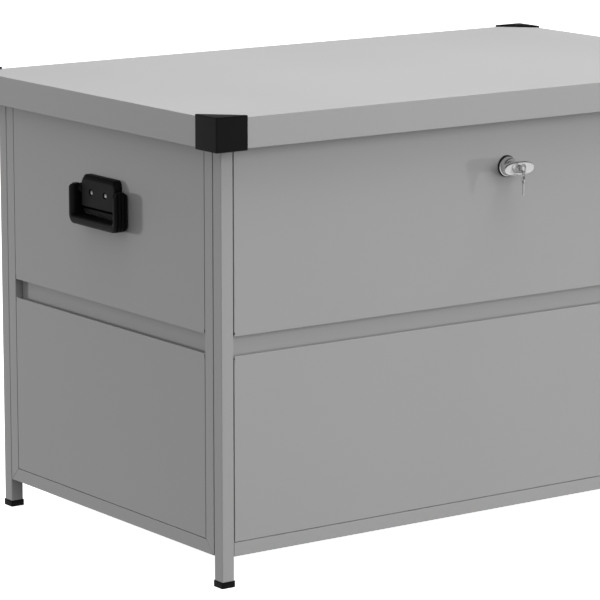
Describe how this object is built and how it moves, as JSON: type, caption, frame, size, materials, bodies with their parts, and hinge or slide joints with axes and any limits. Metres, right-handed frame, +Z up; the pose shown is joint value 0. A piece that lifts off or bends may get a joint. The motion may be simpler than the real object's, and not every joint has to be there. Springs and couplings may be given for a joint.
{
  "type": "deck storage box",
  "caption": "Lockable framed metal storage chest on short legs with a hinged tray lid, recessed side bands and a folding handle at each end.",
  "frame": {"origin": "centre of the bounding box, on the floor under the foot caps", "axes": "+X to the right along the front, +Y from the locked front to the hinged rear, +Z up"},
  "size_m": [1.108, 0.6996, 0.703],
  "materials": {
    "frame_powder_coat": "fine matt powder coat",
    "panel_powder_coat": "fine matt powder coat",
    "lid_powder_coat": "fine matt powder coat",
    "black_plastic": "moulded, fine grain",
    "black_rubber": "matt",
    "zinc_steel": "zinc plated",
    "lock_chrome": "polished chrome",
    "key_nickel": "nickel plated",
    "strut_black": "gloss black enamel",
    "rod_chrome": "hard chrome"
  },
  "bodies": {
    "box": {"post_front_left": "frame_powder_coat", "post_front_right": "frame_powder_coat", "post_rear_left": "frame_powder_coat", "post_rear_right": "frame_powder_coat", "foot_caps": "black_plastic", "rail_bottom_front": "frame_powder_coat", "rail_bottom_rear": "frame_powder_coat", "rim_rail_front": "frame_powder_coat", "rim_rail_rear": "frame_powder_coat", "stiles_left": "frame_powder_coat", "stiles_right": "frame_powder_coat", "rail_bottom_left": "frame_powder_coat", "rail_bottom_right": "frame_powder_coat", "rail_top_left": "frame_powder_coat", "rail_top_right": "frame_powder_coat", "panel_front_upper": "panel_powder_coat", "panel_front_lower": "panel_powder_coat", "panel_rear_upper": "panel_powder_coat", "panel_rear_lower": "panel_powder_coat", "panel_left_upper": "panel_powder_coat", "panel_left_lower": "panel_powder_coat", "panel_right_upper": "panel_powder_coat", "panel_right_lower": "panel_powder_coat", "band_front": "frame_powder_coat", "band_rear": "frame_powder_coat", "band_left": "frame_powder_coat", "band_right": "frame_powder_coat", "floor_panel": "panel_powder_coat", "floor_beams": "frame_powder_coat", "rim_seal": "black_rubber", "hinge_leaves_body": "zinc_steel", "hinge_pins": "zinc_steel", "hinge_screws": "zinc_steel", "lock_gasket": "black_rubber", "lock_housing": "lock_chrome", "lock_nut": "zinc_steel", "handle_plate_left": "black_plastic", "handle_plate_right": "black_plastic", "handle_screws": "zinc_steel", "strut_brackets_body": "zinc_steel"},
    "lid": {"lid_shell": "lid_powder_coat", "lid_stiffeners": "lid_powder_coat", "lid_corner_caps": "black_plastic", "hinge_leaves_lid": "zinc_steel", "lock_striker": "zinc_steel", "strut_brackets_lid": "zinc_steel"},
    "wing": {"wing_handle": "lock_chrome", "lock_cam": "zinc_steel"},
    "lock_key": {"key_plug": "key_nickel", "key": "key_nickel"},
    "spare": {"key_ring": "key_nickel", "spare_key": "key_nickel"},
    "left_bail": {"bail_left": "black_plastic"},
    "right_bail": {"bail_right": "black_plastic"},
    "left_strut_tube": {"strut_cylinder_left": "strut_black"},
    "left_strut_rod": {"strut_rod_left": "rod_chrome"},
    "right_strut_tube": {"strut_cylinder_right": "strut_black"},
    "right_strut_rod": {"strut_rod_right": "rod_chrome"}
  },
  "joints": [
    {"name": "lid_hinge", "type": "hinge", "parent": "box", "child": "lid", "pos_m": [0, 0.32775, 0.6575], "axis": [-1, 0, 0], "range_deg": [0, 80]},
    {"name": "wing_turn", "type": "hinge", "parent": "box", "child": "wing", "pos_m": [0, -0.30225, 0.581], "axis": [0, 1, 0], "range_deg": [0, 90]},
    {"name": "key_turn", "type": "hinge", "parent": "wing", "child": "lock_key", "pos_m": [0, -0.33, 0.581], "axis": [0, 1, 0], "range_deg": [0, 90]},
    {"name": "spare_key_swing", "type": "hinge", "parent": "lock_key", "child": "spare", "pos_m": [0, -0.34375, 0.577], "axis": [0, 1, 0], "range_deg": [-30, 30]},
    {"name": "bail_left_lift", "type": "hinge", "parent": "box", "child": "left_bail", "pos_m": [-0.533, 0.00775, 0.5505], "axis": [0, 1, 0], "range_deg": [0, 90]},
    {"name": "bail_right_lift", "type": "hinge", "parent": "box", "child": "right_bail", "pos_m": [0.533, 0.00775, 0.5505], "axis": [0, -1, 0], "range_deg": [0, 90]},
    {"name": "strut_left_lean", "type": "hinge", "parent": "box", "child": "left_strut_tube", "pos_m": [-0.495, 0.21275, 0.4925], "axis": [-1, 0, 0], "range_deg": [0, 21.84]},
    {"name": "strut_left_slide", "type": "slide", "parent": "left_strut_tube", "child": "left_strut_rod", "axis": [0, 0, 1], "range_m": [0, 0.1202]},
    {"name": "strut_right_lean", "type": "hinge", "parent": "box", "child": "right_strut_tube", "pos_m": [0.495, 0.21275, 0.4925], "axis": [-1, 0, 0], "range_deg": [0, 21.84]},
    {"name": "strut_right_slide", "type": "slide", "parent": "right_strut_tube", "child": "right_strut_rod", "axis": [0, 0, 1], "range_m": [0, 0.1202]}
  ],
  "couplings": [
    {"joint": "strut_left_lean", "follows": "lid_hinge", "ratio": 0.27297},
    {"joint": "strut_left_slide", "follows": "lid_hinge", "m_per_rad": 0.086037},
    {"joint": "strut_right_lean", "follows": "lid_hinge", "ratio": 0.27297},
    {"joint": "strut_right_slide", "follows": "lid_hinge", "m_per_rad": 0.086037}
  ]
}
